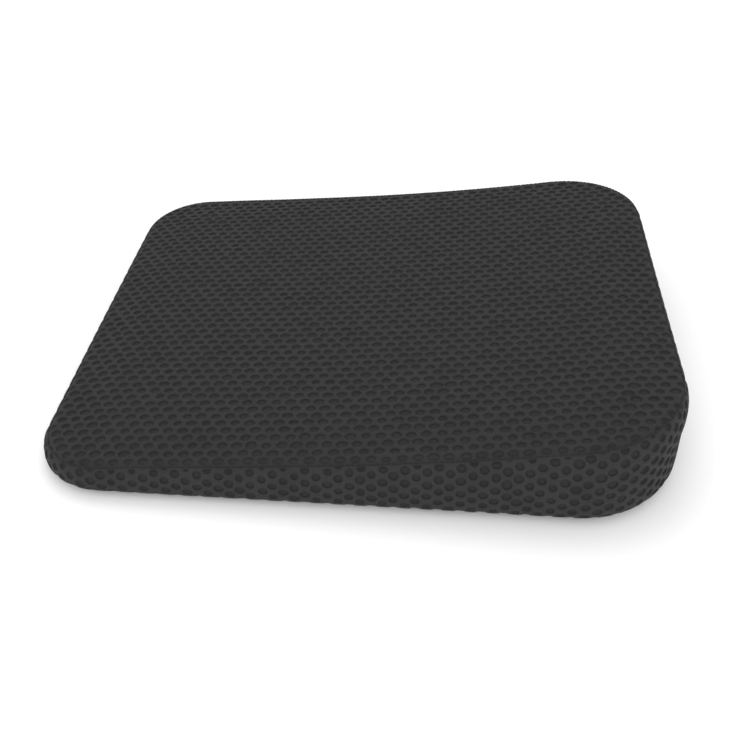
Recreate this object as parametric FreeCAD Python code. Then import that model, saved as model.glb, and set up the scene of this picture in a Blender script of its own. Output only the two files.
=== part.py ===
"""Wedge seat cushion in a zipped air-mesh cover.

Millimetres. Origin at the middle of the footprint, on the surface the cushion rests on.
+Z is up, -Y is the thin front edge and +Y the thick rear wall, where the zip is.
"""
import FreeCAD, Part
import os
from FreeCAD import Vector

# Driving dimensions of the whole cushion
LENGTH = 420.0
WIDTH = 356.0
FRONT_CORNER = 47.0
REAR_CORNER = 70.0
FRONT_HEIGHT = 19.0
REAR_HEIGHT = 64.0
FRONT_SLOPE = 0.075
REAR_SLOPE = 0.195

# Cover
MESH_THICKNESS = 4.0
BASE_CLOTH = 1.6
TOP_EDGE_RADIUS = 9.0
BASE_EDGE_RADIUS = 7.0
TOP_SEAM_DROP = 4.5
BASE_SEAM_RISE = 3.5
THREAD = 0.8
THREAD_DEPTH = 0.4

# Underside
DOT_HEIGHT = 1.0
DOT_RADIUS = 3.0
DOT_PITCH = 24.0
GRIP_FILM = 0.5
GRIP_MARGIN = 22.0
LABEL_SIZE = (50.0, 26.0, 0.4)
LABEL_GAP = 3.0
LABEL_CENTRE_Y = 160.0

# Filling
LINER = 0.8
REAR_GAP = 2.6
COMFORT_SHARE = 0.45

# Upright seams beside the zip
CLOSING_MARGIN = 1.0

# Zip: sizes of a number 5 coil
ZIP_HEIGHT = 30.0
WINDOW_LENGTH = 212.0
WINDOW_HALF = 6.2
TAPE_WIDTH = 16.0
TAPE = 0.7
COIL_WIDTH = 2.9
COIL_DEPTH = 2.2
COIL_SPREAD = 1.6
COIL_END = 87.0
COIL_GAP = 0.02
TAPE_GAP = 0.3
STOP_LENGTH = 2.0
TAB_LENGTH = 18.0
TAB = 1.4
STITCH_LENGTH = 3.6
STITCH_PITCH = 5.0
STITCH_SIZE = 0.5
STITCH_OFFSET = 9.0

# Slider and pull
SLIDER_X = 81.0
SLIDER_HALF_LENGTH = 5.6
SLIDER_CLEAR = 0.3
SPLIT_BEHIND = 3.0
OPEN_AHEAD = 4.0
WEDGE_SET_BACK = 2.0
WEDGE_SHOULDER = 0.5
SLIDER_PLATE = 1.1
FLANGE = 0.8
PULL_LENGTH = 22.0
PULL_WIDTH = 6.4
PULL_THICKNESS = 1.0
PULL_BAR_RADIUS = 0.5
PULL_SLOT = 3.0
PULL_TIP_RADIUS = PULL_WIDTH / 3
BRIDGE_WIDTH = 2.2
BRIDGE_LENGTH = 7.0
BRIDGE_SPAN = 3.4
BRIDGE_WALL = 0.7

# Worked out from the above
HALF_L = LENGTH / 2
HALF_W = WIDTH / 2
COVER_Z = DOT_HEIGHT + GRIP_FILM
OVERRUN = 20.0
TALL = 200.0
UPRIGHT = 0.9
NEAR = 1.0
WALL_Y = HALF_L
TAPE_Y = WALL_Y - MESH_THICKNESS
COIL_TOP_Y = TAPE_Y + COIL_DEPTH
PLATE_Y = COIL_TOP_Y + SLIDER_CLEAR
PLATE_FACE_Y = PLATE_Y + SLIDER_PLATE
PULL_AXIS_Y = PLATE_FACE_Y + SLIDER_CLEAR + PULL_THICKNESS / 2
COIL_SPLIT_X = SLIDER_X - SPLIT_BEHIND
COIL_OPEN_X = SLIDER_X + OPEN_AHEAD


def top_height(y):
    """Height of the seat surface at y: one cubic from the front edge to the rear edge."""
    t = (y + HALF_L) / LENGTH
    rise = REAR_HEIGHT - FRONT_HEIGHT
    a = FRONT_SLOPE * LENGTH
    b = REAR_SLOPE * LENGTH
    return FRONT_HEIGHT + a * t + (3 * rise - 2 * a - b) * t ** 2 + (a + b - 2 * rise) * t ** 3


def top_slope(y):
    step = 0.01
    return (top_height(y + step) - top_height(y - step)) / (2 * step)


def uprights(shape):
    """Straight edges that stand along Z."""
    return [e for e in shape.Edges if abs(e.tangentAt(e.FirstParameter).z) > UPRIGHT]


def box(x_range, y_range, z_range):
    size = [high - low for low, high in (x_range, y_range, z_range)]
    return Part.makeBox(*size, Vector(x_range[0], y_range[0], z_range[0]))


def polygon_prism(points, y_low, y_high):
    """Outline given as (x, z) points, extruded along Y."""
    wire = Part.makePolygon([Vector(x, y_low, z) for x, z in points + points[:1]])
    return Part.Face(wire).extrude(Vector(0, y_high - y_low, 0))


def rounded_plate(inset, rear_inset, z_low, z_high):
    """Plate with the cushion's outline, drawn in by the given amounts."""
    x_half = HALF_W - inset
    y_rear = HALF_L - rear_inset
    plate = box((-x_half, x_half), (inset - HALF_L, y_rear), (z_low, z_high))
    front = [e for e in uprights(plate) if e.CenterOfMass.y < 0]
    plate = plate.makeFillet(FRONT_CORNER - inset, front)
    rear = [e for e in uprights(plate) if e.CenterOfMass.y > y_rear - NEAR]
    return plate.makeFillet(REAR_CORNER - inset, rear)


def under_surface(z_low, drop=0.0, keep=1.0):
    """Everything from z_low up to the seat surface, lowered by drop or scaled down to the
    share keep of its height above the cover's underside."""
    def height(y):
        return COVER_Z + keep * (top_height(y) - COVER_Z) - drop

    x0 = -HALF_W - OVERRUN
    y0 = -HALF_L - OVERRUN
    y1 = HALF_L + OVERRUN
    third = (y1 - y0) / 3
    start = Vector(x0, y0, height(y0))
    end = Vector(x0, y1, height(y1))
    curve = Part.BezierCurve()
    curve.setPoles([
        start,
        Vector(x0, y0 + third, start.z + third * keep * top_slope(y0)),
        Vector(x0, y1 - third, end.z - third * keep * top_slope(y1)),
        end,
    ])
    sides = Part.makePolygon([end, Vector(x0, y1, z_low), Vector(x0, y0, z_low), start])
    outline = Part.Wire([curve.toShape()] + sides.Edges)
    return Part.Face(outline).extrude(Vector(WIDTH + 2 * OVERRUN, 0, 0))


def cushion_body(inset, base_inset, rear_inset):
    """The cushion's outer form, drawn in from the outside by the given amounts."""
    z_low = COVER_Z + base_inset
    plan = rounded_plate(inset, rear_inset, z_low, TALL)
    form = plan.common(under_surface(-OVERRUN, drop=inset))
    flat = [f for f in form.Faces if abs(f.normalAt(0.5, 0.5).z) > UPRIGHT]
    flat.sort(key=lambda f: f.CenterOfMass.z)
    form = form.makeFillet(TOP_EDGE_RADIUS - inset, flat[-1].Edges)
    low = [f for f in form.Faces if f.BoundBox.ZMax < z_low + NEAR]
    return form.makeFillet(BASE_EDGE_RADIUS - base_inset, low[0].Edges)


def band(drop_low, drop_high):
    """Slab that follows the seat surface, between two drops below it."""
    return under_surface(-OVERRUN, drop=drop_low).cut(under_surface(-TALL, drop=drop_high))


def level_slab(z_low, z_high):
    reach = HALF_L + OVERRUN
    return box((-reach, reach), (-reach, reach), (z_low, z_high))


def cover_parts():
    """Top panel, boxing strips, base cloth and the threads in their seams."""
    outer = cushion_body(0.0, 0.0, 0.0)
    hollow = cushion_body(MESH_THICKNESS, BASE_CLOTH, MESH_THICKNESS)
    shell = outer.cut(hollow)

    base_seam_z = COVER_Z + BASE_SEAM_RISE
    over_seam = level_slab(0, TALL).cut(under_surface(-OVERRUN, drop=TOP_SEAM_DROP))
    below_seam = level_slab(0, base_seam_z)
    ring = cushion_body(THREAD_DEPTH, THREAD_DEPTH, THREAD_DEPTH).cut(
        cushion_body(THREAD_DEPTH + THREAD, THREAD_DEPTH + THREAD, THREAD_DEPTH + THREAD))
    top_thread = ring.common(band(TOP_SEAM_DROP - THREAD / 2, TOP_SEAM_DROP + THREAD / 2))
    base_thread = ring.common(level_slab(base_seam_z - THREAD / 2, base_seam_z + THREAD / 2))

    top = shell.common(over_seam).cut(top_thread)
    base = shell.common(below_seam).cut(base_thread)
    boxing = shell.cut(over_seam).cut(below_seam).cut(top_thread).cut(base_thread)

    end = WINDOW_LENGTH / 2
    wall = box((-end, end), (TAPE_Y - TAPE / 2, WALL_Y + OVERRUN), (0, TALL))
    strips = boxing.common(wall)
    over_zip = level_slab(ZIP_HEIGHT + WINDOW_HALF, TALL)
    under_zip = level_slab(0, ZIP_HEIGHT - WINDOW_HALF)
    closing = closing_threads(end)
    return {
        "top_panel": top,
        "side_boxing": boxing.cut(wall).cut(closing),
        "rear_boxing_upper": strips.common(over_zip).cut(closing),
        "rear_boxing_lower": strips.common(under_zip).cut(closing),
        "base_panel": base,
        "top_seam_thread": top_thread,
        "base_seam_thread": base_thread,
        "closing_seam_threads": closing,
    }


def closing_threads(end):
    """The upright seams at both ends of the zip, above and below it."""
    low = COVER_Z + BASE_EDGE_RADIUS
    high = top_height(WALL_Y) - TOP_EDGE_RADIUS - CLOSING_MARGIN
    y_range = (WALL_Y - THREAD_DEPTH - THREAD, WALL_Y - THREAD_DEPTH)
    threads = []
    for x in (-end, end):
        x_range = (x - THREAD / 2, x + THREAD / 2)
        threads.append(box(x_range, y_range, (low, ZIP_HEIGHT - WINDOW_HALF)))
        threads.append(box(x_range, y_range, (ZIP_HEIGHT + WINDOW_HALF, high)))
    return Part.makeCompound(threads)


def filling_parts():
    """The knitted liner, and the two foams glued together inside it."""
    rear = MESH_THICKNESS + REAR_GAP
    sleeve = cushion_body(MESH_THICKNESS, BASE_CLOTH, rear)
    foam = cushion_body(MESH_THICKNESS + LINER, BASE_CLOTH + LINER, rear + LINER)
    liner = sleeve.cut(foam)
    below_joint = under_surface(-OVERRUN, keep=1 - COMFORT_SHARE)
    return {
        "liner_upper": liner.cut(below_joint),
        "liner_lower": liner.common(below_joint),
        "comfort_foam": foam.cut(below_joint),
        "support_foam": foam.common(below_joint),
    }


def grip_coating():
    """Non-slip film with raised dots, printed on the base cloth round the label."""
    x_half = HALF_W - GRIP_MARGIN
    y_half = HALF_L - GRIP_MARGIN
    film = rounded_plate(GRIP_MARGIN, GRIP_MARGIN, DOT_HEIGHT, COVER_Z)
    half_x = LABEL_SIZE[0] / 2 + LABEL_GAP
    half_y = LABEL_SIZE[1] / 2 + LABEL_GAP
    y_range = (LABEL_CENTRE_Y - half_y, LABEL_CENTRE_Y + half_y)
    film = film.cut(box((-half_x, half_x), y_range, (0, COVER_Z)))
    columns = int((x_half - 2 * DOT_RADIUS) / DOT_PITCH)
    rows = int((y_half - 2 * DOT_RADIUS) / DOT_PITCH)
    dots = []
    for row in range(-rows, rows + 1):
        shift = DOT_PITCH / 2 * (row % 2)
        for column in range(-columns, columns + 1 - row % 2):
            x = column * DOT_PITCH + shift
            y = row * DOT_PITCH
            in_label = abs(x) < half_x + DOT_RADIUS and abs(y - LABEL_CENTRE_Y) < half_y + DOT_RADIUS
            in_corner = abs(x) > x_half - 2 * DOT_PITCH and abs(y) > y_half - 2 * DOT_PITCH
            if not in_label and not in_corner:
                dots.append(Part.makeCylinder(DOT_RADIUS, DOT_HEIGHT, Vector(x, y, 0)))
    return film.fuse(dots).removeSplitter()


def care_label():
    """Blank woven label on the base cloth."""
    width, depth, thickness = LABEL_SIZE
    y_range = (LABEL_CENTRE_Y - depth / 2, LABEL_CENTRE_Y + depth / 2)
    return box((-width / 2, width / 2), y_range, (COVER_Z - thickness, COVER_Z))


def zip_half(inner, outer, y_low, y_high, x_end, side):
    """One side of the zip as a strip that lies inner to outer from the zip's middle line.
    Ahead of the slider it stands COIL_SPREAD away from that line."""
    gap = COIL_SPREAD
    points = [
        (-x_end, inner), (COIL_SPLIT_X, inner), (COIL_OPEN_X, gap), (x_end, gap),
        (x_end, gap + outer - inner), (COIL_OPEN_X, gap + outer - inner),
        (COIL_SPLIT_X, outer), (-x_end, outer),
    ]
    points = [(x, ZIP_HEIGHT + side * z) for x, z in points]
    return polygon_prism(points, y_low, y_high)


def zip_tape(side):
    return zip_half(TAPE_GAP, TAPE_WIDTH, TAPE_Y - TAPE, TAPE_Y, WINDOW_LENGTH / 2, side)


def zip_coil(side):
    return zip_half(COIL_GAP, COIL_WIDTH, TAPE_Y, COIL_TOP_Y, COIL_END, side)


def zip_top_stops():
    """A small clip on the end of each coil, where the closed slider stops."""
    x_range = (COIL_END, COIL_END + STOP_LENGTH)
    y_range = (TAPE_Y, COIL_TOP_Y)
    inner = ZIP_HEIGHT + COIL_SPREAD
    outer = inner + COIL_WIDTH
    upper = box(x_range, y_range, (inner, outer))
    lower = box(x_range, y_range, (2 * ZIP_HEIGHT - outer, 2 * ZIP_HEIGHT - inner))
    return Part.makeCompound([upper, lower])


def zip_bottom_stop():
    z_range = (ZIP_HEIGHT - COIL_WIDTH, ZIP_HEIGHT + COIL_WIDTH)
    return box((-COIL_END - STOP_LENGTH, -COIL_END), (TAPE_Y, COIL_TOP_Y), z_range)


def zip_end_tab(side):
    """Folded cloth tab that closes the window beyond each end of the coil."""
    inner = WINDOW_LENGTH / 2 - TAB_LENGTH + STOP_LENGTH
    outer = WINDOW_LENGTH / 2
    x_range = sorted((side * inner, side * outer))
    z_range = (ZIP_HEIGHT - WINDOW_HALF, ZIP_HEIGHT + WINDOW_HALF)
    return box(x_range, (TAPE_Y, TAPE_Y + TAB), z_range)


def zip_stitching(side):
    """A row of stitches through the strip and the tape behind it."""
    z = ZIP_HEIGHT + side * STITCH_OFFSET
    count = int(WINDOW_LENGTH / STITCH_PITCH) - 1
    stitches = []
    for index in range(count):
        x = (index - (count - 1) / 2) * STITCH_PITCH
        x_range = (x - STITCH_LENGTH / 2, x + STITCH_LENGTH / 2)
        z_range = (z - STITCH_SIZE / 2, z + STITCH_SIZE / 2)
        stitches.append(box(x_range, (WALL_Y, WALL_Y + STITCH_SIZE), z_range))
    return Part.makeCompound(stitches)


def slider_outline(grow):
    """Half-widths along the slider: narrow where the coils join, wide where they part."""
    narrow = COIL_WIDTH + grow
    wide = COIL_WIDTH + COIL_SPREAD + grow
    back = SLIDER_X - SLIDER_HALF_LENGTH
    front = SLIDER_X + SLIDER_HALF_LENGTH
    upper = [(back, narrow), (COIL_SPLIT_X, narrow), (COIL_OPEN_X, wide), (front, wide)]
    lower = [(x, -z) for x, z in reversed(upper)]
    return [(x, ZIP_HEIGHT + z) for x, z in upper + lower]


def zip_slider():
    """Two plates joined by a wedge between the coils, with side flanges and a bridge."""
    outer = slider_outline(SLIDER_CLEAR + FLANGE)
    inner = slider_outline(SLIDER_CLEAR)
    back_face = TAPE_Y - TAPE - SLIDER_CLEAR
    front_plate = polygon_prism(outer, PLATE_Y, PLATE_FACE_Y)
    back_plate = polygon_prism(outer, back_face - SLIDER_PLATE, back_face)
    flanges = polygon_prism(outer, TAPE_Y + SLIDER_CLEAR, PLATE_Y).cut(
        polygon_prism(inner, TAPE_Y, PLATE_Y))
    wedge_half = COIL_SPREAD - SLIDER_CLEAR
    shoulder = COIL_OPEN_X + WEDGE_SHOULDER
    nose = SLIDER_X + SLIDER_HALF_LENGTH
    wedge = polygon_prism([
        (COIL_SPLIT_X + WEDGE_SET_BACK, ZIP_HEIGHT),
        (shoulder, ZIP_HEIGHT + wedge_half),
        (nose, ZIP_HEIGHT + wedge_half),
        (nose, ZIP_HEIGHT - wedge_half),
        (shoulder, ZIP_HEIGHT - wedge_half),
    ], back_face, PLATE_Y)
    return front_plate.fuse([back_plate, flanges, wedge, slider_bridge()]).removeSplitter()


def slider_bridge():
    """Arch that the pull's bar turns under."""
    roof = PULL_AXIS_Y + PULL_BAR_RADIUS + SLIDER_CLEAR
    z_range = (ZIP_HEIGHT - BRIDGE_WIDTH / 2, ZIP_HEIGHT + BRIDGE_WIDTH / 2)
    half = BRIDGE_LENGTH / 2
    block = box((SLIDER_X - half, SLIDER_X + half), (PLATE_FACE_Y, roof + BRIDGE_WALL), z_range)
    half = BRIDGE_SPAN / 2
    tunnel = box((SLIDER_X - half, SLIDER_X + half), (PLATE_FACE_Y, roof), z_range)
    return block.cut(tunnel)


def zip_pull():
    """Flat tag with a bar across its eye, lying back along the closed coil."""
    y_range = (PULL_AXIS_Y - PULL_THICKNESS / 2, PULL_AXIS_Y + PULL_THICKNESS / 2)
    z_range = (ZIP_HEIGHT - PULL_WIDTH / 2, ZIP_HEIGHT + PULL_WIDTH / 2)
    tip = SLIDER_X - PULL_LENGTH
    tag = box((tip, SLIDER_X), y_range, z_range)
    corners = [e for e in tag.Edges
               if abs(e.tangentAt(0).y) > UPRIGHT and e.CenterOfMass.x < tip + NEAR]
    tag = tag.makeFillet(PULL_TIP_RADIUS, corners)
    slot_half = BRIDGE_WIDTH / 2 + SLIDER_CLEAR
    slot_end = SLIDER_X - BRIDGE_LENGTH / 2 - PULL_SLOT
    slot = box((slot_end, SLIDER_X + OVERRUN), (WALL_Y - OVERRUN, WALL_Y + OVERRUN),
               (ZIP_HEIGHT - slot_half, ZIP_HEIGHT + slot_half))
    start = Vector(SLIDER_X, PULL_AXIS_Y, z_range[0])
    bar = Part.makeCylinder(PULL_BAR_RADIUS, PULL_WIDTH, start, Vector(0, 0, 1))
    return tag.cut(slot).fuse(bar).removeSplitter()


def zip_parts():
    return {
        "zipper_tape_upper": zip_tape(1),
        "zipper_tape_lower": zip_tape(-1),
        "zipper_coil_upper": zip_coil(1),
        "zipper_coil_lower": zip_coil(-1),
        "zipper_top_stops": zip_top_stops(),
        "zipper_bottom_stop": zip_bottom_stop(),
        "zipper_end_tab_left": zip_end_tab(1),
        "zipper_end_tab_right": zip_end_tab(-1),
        "zipper_stitching_upper": zip_stitching(1),
        "zipper_stitching_lower": zip_stitching(-1),
        "zipper_slider": zip_slider(),
        "zipper_pull": zip_pull(),
    }


def main():
    os.makedirs("parts", exist_ok=True)
    parts = cover_parts()
    parts.update(filling_parts())
    parts.update(zip_parts())
    parts["grip_coating"] = grip_coating()
    parts["care_label"] = care_label()
    for name, shape in parts.items():
        shape.exportStep("parts/" + name + ".step")
        limits = shape.BoundBox
        print(name, "solids", len(shape.Solids), "valid", shape.isValid(),
              "volume", round(shape.Volume), "z", round(limits.ZMin, 2), round(limits.ZMax, 2),
              "y", round(limits.YMin, 2), round(limits.YMax, 2))


main()
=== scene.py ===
"""Wedge seat cushion in a honeycomb air-mesh cover, built round the CAD frame.

Metres. -Y is the thin front edge, +Y the thick rear wall with the zip, +Z is up.
"""
import math
import bmesh
import bpy
import numpy as np
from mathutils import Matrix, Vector
from mathutils.bvhtree import BVHTree
from mathutils.kdtree import KDTree


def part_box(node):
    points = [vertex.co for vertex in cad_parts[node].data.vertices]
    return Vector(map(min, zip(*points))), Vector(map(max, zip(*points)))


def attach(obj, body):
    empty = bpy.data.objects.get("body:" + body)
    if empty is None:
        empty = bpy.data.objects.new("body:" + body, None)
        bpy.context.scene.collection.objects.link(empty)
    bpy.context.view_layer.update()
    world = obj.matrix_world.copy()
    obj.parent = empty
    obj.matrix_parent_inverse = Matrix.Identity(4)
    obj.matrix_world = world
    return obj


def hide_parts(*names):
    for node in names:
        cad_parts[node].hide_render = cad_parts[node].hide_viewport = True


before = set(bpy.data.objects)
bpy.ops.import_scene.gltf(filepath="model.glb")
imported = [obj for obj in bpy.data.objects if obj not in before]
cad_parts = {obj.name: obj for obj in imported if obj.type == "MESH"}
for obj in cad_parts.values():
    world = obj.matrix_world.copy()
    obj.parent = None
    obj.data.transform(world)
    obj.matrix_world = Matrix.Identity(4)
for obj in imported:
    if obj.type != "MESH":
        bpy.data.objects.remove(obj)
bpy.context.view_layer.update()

MM = 0.001
ROOT = "cushion"
rng = np.random.default_rng(7)

# Outer form: the plan from the CAD model, corners and heights fitted to the photograph
BOX_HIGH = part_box("side_boxing")[1]
HALF_W = BOX_HIGH[0]
HALF_L = BOX_HIGH[1]
LENGTH = 2 * HALF_L
FRONT_CORNER = 46 * MM
REAR_CORNER = 70 * MM
FRONT_HEIGHT = 20.1 * MM
REAR_HEIGHT = 65.0 * MM
FRONT_SLOPE = 0.108
REAR_SLOPE = 0.159
HUMP = -3.3 * MM
COVER_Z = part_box("base_panel")[0][2]
BASE_SEAM_Z = COVER_Z + 1.1 * MM

# How the panels roll towards their seams
ROLL = 1.6 * MM
ROLL_WIDTH = 3.55
TOP_INSET = 0.036
# Bulge of the front and flanks, given here: the cloth simulation moves them 0.3 mm at most
WALL_CROWN = 1.3 * MM
DISH = 0.6 * MM
DISH_REAR = 1.9 * MM
PINCH = 1.0 * MM
PINCH_WIDTH = 2.4 * MM
FADE = 4.5 * MM
# The cloth is drawn tight over the base seam, so the pits there are shallow; their painted shade is
# not lessened with them
FLAT_SHARE = 0.2
FLAT_REACH = 11 * MM

# Honeycomb of the air mesh
CELL_LONG = 9.65 * MM
CELL_WIDE = 13.8 * MM
PIT_LONG = 3.35 * MM
PIT_WIDE = 2.9 * MM
PIT_DEPTH = 1.2 * MM
WALL_CELL_HIGH = 8.6 * MM
WALL_PIT = 2.6 * MM
RIDGE = 0.18 * MM
CORNERS = 12
# Unevenness of the cells: size, squeeze and depth as shares, shift as a length
UNEVEN_SIZE = 0.06
UNEVEN_SQUEEZE = 0.05
UNEVEN_DEPTH = 0.10
UNEVEN_SHIFT = 0.22 * MM
SEAT_CELL = (6.4 * MM, 0.65 * MM)
WALL_CELL = (4.0 * MM, 0.0)

# Outline of the plan, walked clockwise (seen from above) from the middle of the rear wall
REAR_RUN = 2 * (HALF_W - REAR_CORNER)
FRONT_RUN = 2 * (HALF_W - FRONT_CORNER)
FLANK_RUN = 2 * HALF_L - FRONT_CORNER - REAR_CORNER
REAR_QUARTER = REAR_CORNER * math.pi / 2
FRONT_QUARTER = FRONT_CORNER * math.pi / 2
PERIMETER = REAR_RUN + FRONT_RUN + 2 * (FLANK_RUN + REAR_QUARTER + FRONT_QUARTER)
WINDOW_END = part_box("zipper_tape_upper")[1][0]
WINDOW_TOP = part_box("rear_boxing_upper")[0][2]
WINDOW_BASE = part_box("rear_boxing_lower")[1][2]


def smooth(t):
    t = np.clip(t, 0, 1)
    return t * t * (3 - 2 * t)


def seat_height(y):
    """Height of the seat surface, before its edges roll down."""
    t = (y + HALF_L) / LENGTH
    rise = REAR_HEIGHT - FRONT_HEIGHT
    a = FRONT_SLOPE * LENGTH
    b = REAR_SLOPE * LENGTH
    cubic = FRONT_HEIGHT + a * t + (3 * rise - 2 * a - b) * t ** 2 + (a + b - 2 * rise) * t ** 3
    return cubic + HUMP * 16 * t ** 2 * (1 - t) ** 2


def wall_height(y):
    """Height from the base seam to the top seam."""
    return seat_height(y) - ROLL - BASE_SEAM_Z


def outline(s):
    """Point and outward normal of the plan's outline at distance s along it."""
    s = np.mod(s, PERIMETER)
    x, y, nx, ny = (np.zeros_like(s) for _ in range(4))
    heading = 0.0
    px, py = 0.0, HALF_L
    start = 0.0
    runs = [
        (REAR_RUN / 2, None), (REAR_QUARTER, REAR_CORNER), (FLANK_RUN, None),
        (FRONT_QUARTER, FRONT_CORNER), (FRONT_RUN, None), (FRONT_QUARTER, FRONT_CORNER),
        (FLANK_RUN, None), (REAR_QUARTER, REAR_CORNER), (REAR_RUN, None),
    ]
    for length, radius in runs:
        here = (s >= start) & (s < start + length)
        along = s[here] - start
        turn = np.zeros_like(along) if radius is None else along / radius
        angle = heading - turn
        nx[here] = -np.sin(angle)
        ny[here] = np.cos(angle)
        if radius is None:
            x[here] = px + along * math.cos(heading)
            y[here] = py + along * math.sin(heading)
            px += length * math.cos(heading)
            py += length * math.sin(heading)
        else:
            cx = px + radius * math.sin(heading)
            cy = py - radius * math.cos(heading)
            x[here] = cx + radius * nx[here]
            y[here] = cy + radius * ny[here]
            heading -= math.pi / 2
            px = cx - radius * math.sin(heading)
            py = cy + radius * math.cos(heading)
        start += length
    return x, y, nx, ny


def inner_distance(x, y):
    """Distance from the outline, inside it, and the outward direction."""
    radius = np.where(y > 0, REAR_CORNER, FRONT_CORNER)
    qx = np.abs(x) - (HALF_W - radius)
    qy = np.abs(y) - (HALF_L - radius)
    in_corner = (qx > 0) & (qy > 0)
    reach = np.hypot(qx, qy) + 1e-12
    distance = np.where(in_corner, radius - reach, radius - np.maximum(qx, qy))
    gx = np.where(in_corner, qx / reach, (qx >= qy).astype(float)) * np.sign(x)
    gy = np.where(in_corner, qy / reach, (qx < qy).astype(float)) * np.sign(y)
    return distance, gx, gy


def wall_section(shares, elevations):
    """Curve down a wall, from the direction it faces at given shares of the way down.
    Gives the way out and down, per unit of height, at equal steps, and the curve's length."""
    steps = np.linspace(0, 1, 129)
    facing = np.radians(np.interp(steps, shares, elevations))
    middle = (facing[1:] + facing[:-1]) / 2
    out = np.concatenate([[0], np.cumsum(np.sin(middle))])
    down = np.concatenate([[0], np.cumsum(np.cos(middle))])
    length = (len(steps) - 1) / down[-1]
    return steps, out / down[-1] - TOP_INSET, down / down[-1], facing, length


FLANK = wall_section([0, 0.22, 0.76, 0.9, 1], [27, 12, 2, -32, -78])
REAR = wall_section([0, 0.2, 0.32, 0.45, 0.76, 0.9, 1], [30, 5, -10, 0, 0, -40, -75])


def rear_share(s):
    """1 along the flat rear wall, 0 on flanks and front, blended round the rear corners."""
    s = np.mod(s, PERIMETER)
    from_middle = np.minimum(s, PERIMETER - s)
    return 1 - smooth((from_middle - REAR_RUN / 2) / REAR_QUARTER)


def wall(s, f):
    """Point and outward normal of the boxing, f from 0 at the top seam to 1 at the base."""
    x, y, nx, ny = outline(s)
    rear = rear_share(s)
    tables = []
    for column in (1, 2, 3):
        flank_value = np.interp(f, FLANK[0], FLANK[column])
        rear_value = np.interp(f, REAR[0], REAR[column])
        tables.append(flank_value + rear * (rear_value - flank_value))
    out, down, facing = tables
    inset = TOP_INSET * wall_height(y)
    height = wall_height(y - ny * inset)
    top = height + BASE_SEAM_Z + dish(x - nx * inset, y - ny * inset)
    height = top - BASE_SEAM_Z
    reach = out * height + WALL_CROWN * (1 - rear) * np.sin(math.pi * f)
    px = x + nx * reach
    py = y + ny * reach
    points = np.stack([px, py, top - down * height], axis=-1)
    normals = np.stack([nx * np.cos(facing), ny * np.cos(facing), np.sin(facing)], axis=-1)
    return points, normals


def wall_length(s):
    """Length down the wall, seam to seam."""
    _, y, _, ny = outline(s)
    rear = rear_share(s)
    per_height = FLANK[4] + rear * (REAR[4] - FLANK[4])
    return per_height * wall_height(y - ny * TOP_INSET * wall_height(y))


def seat_distance(x, y):
    """Distance in from the top seam."""
    distance, gx, gy = inner_distance(x, y)
    return distance - TOP_INSET * wall_height(y), gx, gy


def dish(x, y):
    """How much the seat surface rises towards its flanks."""
    return (DISH + DISH_REAR * y / HALF_L) * (x / HALF_W) ** 2


def seat_z(x, y):
    distance, _, _ = seat_distance(x, y)
    share = np.clip(1 - distance / (ROLL_WIDTH * ROLL), 0, 1)
    return seat_height(y) + dish(x, y) - ROLL * share ** 2


def seat(x, y):
    """Point and normal of the seat surface."""
    step = 0.5 * MM
    dx = (seat_z(x + step, y) - seat_z(x - step, y)) / (2 * step)
    dy = (seat_z(x, y + step) - seat_z(x, y - step)) / (2 * step)
    normals = np.stack([-dx, -dy, np.ones_like(dx)], axis=-1)
    normals /= np.linalg.norm(normals, axis=-1, keepdims=True)
    return np.stack([x, y, seat_z(x, y)], axis=-1), normals


# Honeycomb sheets

def ring_faces(rings, count):
    """Quads between rings of equally many vertices, outward when rings go from top to base."""
    faces = []
    for ring in range(rings - 1):
        for k in range(count):
            a = ring * count + k
            b = ring * count + (k + 1) % count
            faces.append([a, b, b + count, a + count])
    return faces


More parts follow.
